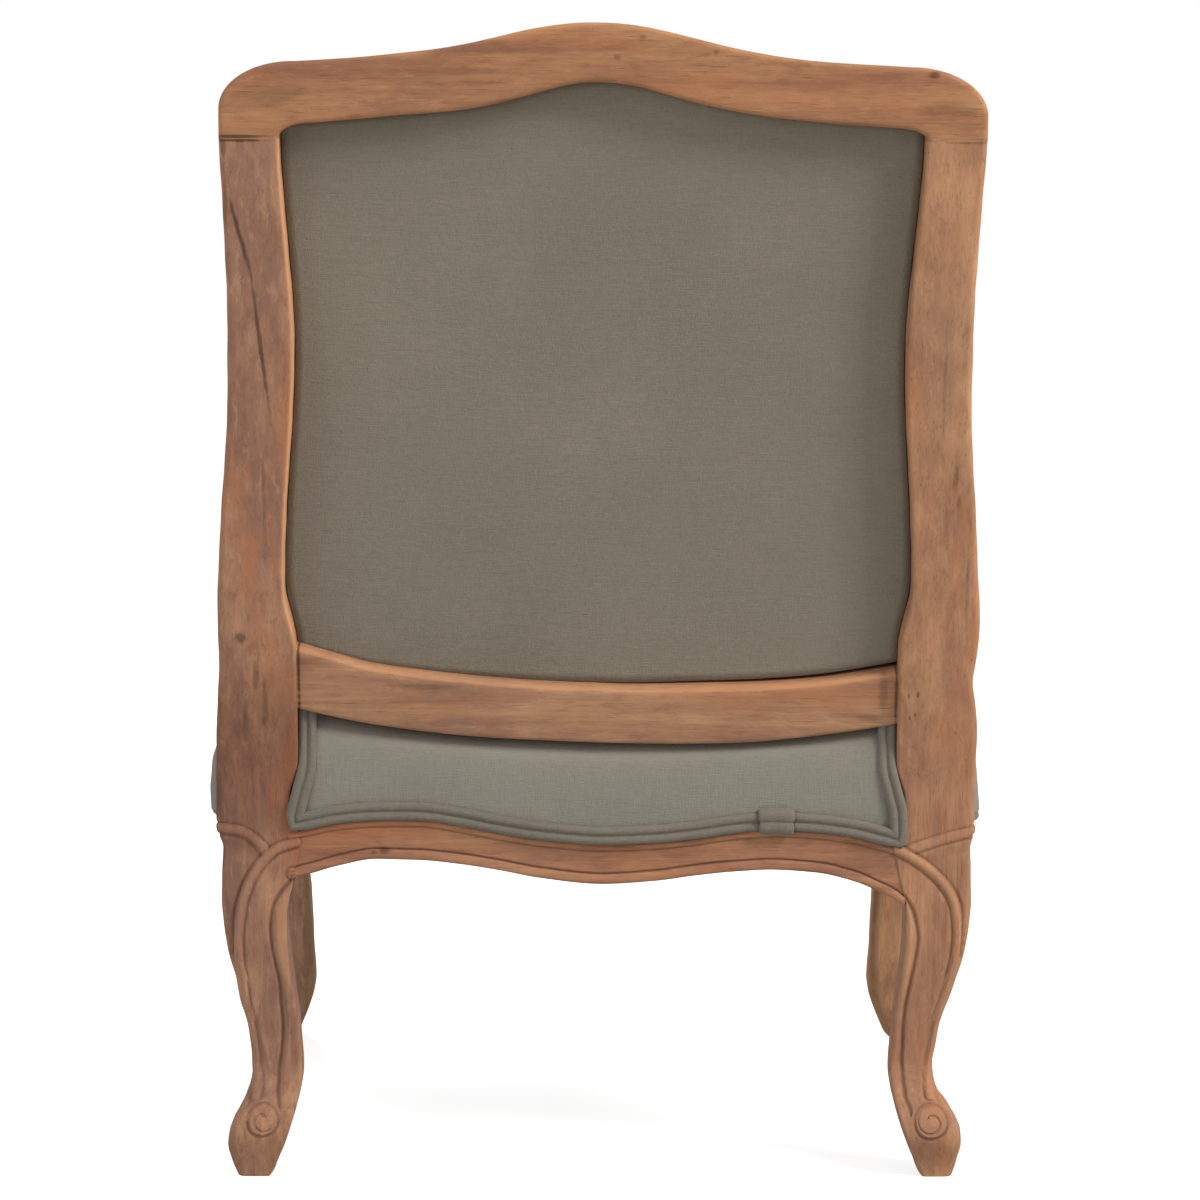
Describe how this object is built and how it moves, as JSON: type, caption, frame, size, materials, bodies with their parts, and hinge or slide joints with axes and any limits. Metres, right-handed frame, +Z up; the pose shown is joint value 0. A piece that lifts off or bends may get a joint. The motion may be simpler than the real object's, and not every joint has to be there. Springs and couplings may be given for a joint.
{
  "type": "upholstered side chair",
  "caption": "Show-wood lounge chair without arms, with curved crest, cabriole legs, crowned seat and padded back in linen.",
  "frame": {"origin": "on the floor, below the middle of the whole chair's box", "axes": "+Z up, the sitter faces -Y, +X is the sitter's left"},
  "size_m": [0.724, 0.721, 0.9992],
  "materials": {
    "show_wood": "weathered oak, dull wax",
    "inner_wood": "bare beech",
    "seat_linen": "plain woven linen",
    "back_linen": "plain woven linen",
    "piping_linen": "linen over cord",
    "jute": "woven jute",
    "foam": "open-cell foam",
    "steel": "zinc plated",
    "cambric": "black nonwoven"
  },
  "bodies": {
    "root": {"left_back_post": "show_wood", "right_back_post": "show_wood", "crest_rail": "show_wood", "lower_back_rail": "show_wood", "rear_seat_rail": "show_wood", "front_seat_rail": "show_wood", "left_side_rail": "show_wood", "right_side_rail": "show_wood", "front_left_leg": "show_wood", "front_right_leg": "show_wood", "rear_left_corner_block": "inner_wood", "rear_right_corner_block": "inner_wood", "front_left_corner_block": "inner_wood", "front_right_corner_block": "inner_wood", "corner_block_screws": "steel", "crest_dowels": "inner_wood", "lower_back_rail_dowels": "inner_wood", "seat_rail_dowels": "inner_wood", "seat_webbing_lengthwise": "jute", "seat_webbing_crosswise": "jute", "seat_burlap": "jute", "seat_foam": "foam", "seat_cover": "seat_linen", "seat_piping_rear_left": "piping_linen", "seat_piping_rear_right": "piping_linen", "seat_piping_front": "piping_linen", "piping_join_wrap": "piping_linen", "back_webbing_upright": "jute", "back_webbing_level": "jute", "back_burlap": "jute", "back_foam": "foam", "inner_back_cover": "back_linen", "inner_back_piping": "piping_linen", "outer_back_tack_strips": "inner_wood", "outer_back_panel": "back_linen", "dust_cover": "cambric"}
  },
  "joints": []
}
